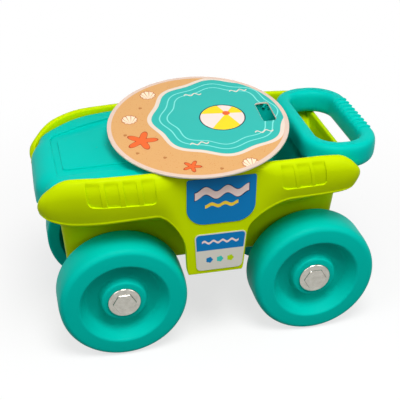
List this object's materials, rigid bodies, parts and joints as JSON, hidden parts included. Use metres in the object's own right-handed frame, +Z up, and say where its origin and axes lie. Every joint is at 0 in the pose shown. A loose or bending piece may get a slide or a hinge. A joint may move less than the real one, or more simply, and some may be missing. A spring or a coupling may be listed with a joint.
{
  "type": "sand toy truck",
  "caption": "Push-along sand toy truck: a moulded body with wheel arches on big dished wheels, a lift-out sand bed with a ribbed grip, and a round card laid on the rails.",
  "frame": {"origin": "on the floor below the middle of the whole toy with its card", "axes": "+X towards the grip at the rear, +Z up, the labels on the -Y side"},
  "size_m": [0.3178, 0.1758, 0.215],
  "materials": {
    "lime_plastic": "satin",
    "teal_plastic": "satin",
    "teal_wheel": "satin",
    "steel": "plain drawn rod",
    "bright_cap": "bright",
    "printed_card": "printed, satin",
    "label_film": "printed film"
  },
  "bodies": {
    "chassis": {"body_shell": "lime_plastic", "label_upper": "label_film", "label_lower": "label_film"},
    "bed": {"sand_bed": "teal_plastic"},
    "card": {"card_disc": "printed_card"},
    "front_axle": {"axle_front": "steel", "cap_front_left": "bright_cap", "cap_front_right": "bright_cap"},
    "rear_axle": {"axle_rear": "steel", "cap_rear_left": "bright_cap", "cap_rear_right": "bright_cap"},
    "front_left_wheel": {"wheel_front_left": "teal_wheel"},
    "front_right_wheel": {"wheel_front_right": "teal_wheel"},
    "rear_left_wheel": {"wheel_rear_left": "teal_wheel"},
    "rear_right_wheel": {"wheel_rear_right": "teal_wheel"}
  },
  "joints": [
    {"name": "bed_lift", "type": "slide", "parent": "chassis", "child": "bed", "axis": [0, 0, 1], "range_m": [0, 0.15]},
    {"name": "card_lift", "type": "slide", "parent": "bed", "child": "card", "axis": [0, 0, 1], "range_m": [0, 0.06]},
    {"name": "front_axle_spin", "type": "hinge", "parent": "chassis", "child": "front_axle", "pos_m": [-0.0859, 0.0059, 0.06], "axis": [0, 1, 0], "continuous": true},
    {"name": "rear_axle_spin", "type": "hinge", "parent": "chassis", "child": "rear_axle", "pos_m": [0.0981, 0.0059, 0.06], "axis": [0, 1, 0], "continuous": true},
    {"name": "front_left_wheel_spin", "type": "hinge", "parent": "front_axle", "child": "front_left_wheel", "pos_m": [-0.0859, -0.0559, 0.06], "axis": [0, 1, 0], "continuous": true},
    {"name": "front_right_wheel_spin", "type": "hinge", "parent": "front_axle", "child": "front_right_wheel", "pos_m": [-0.0859, 0.0677, 0.06], "axis": [0, 1, 0], "continuous": true},
    {"name": "rear_left_wheel_spin", "type": "hinge", "parent": "rear_axle", "child": "rear_left_wheel", "pos_m": [0.0981, -0.0559, 0.06], "axis": [0, 1, 0], "continuous": true},
    {"name": "rear_right_wheel_spin", "type": "hinge", "parent": "rear_axle", "child": "rear_right_wheel", "pos_m": [0.0981, 0.0677, 0.06], "axis": [0, 1, 0], "continuous": true}
  ]
}
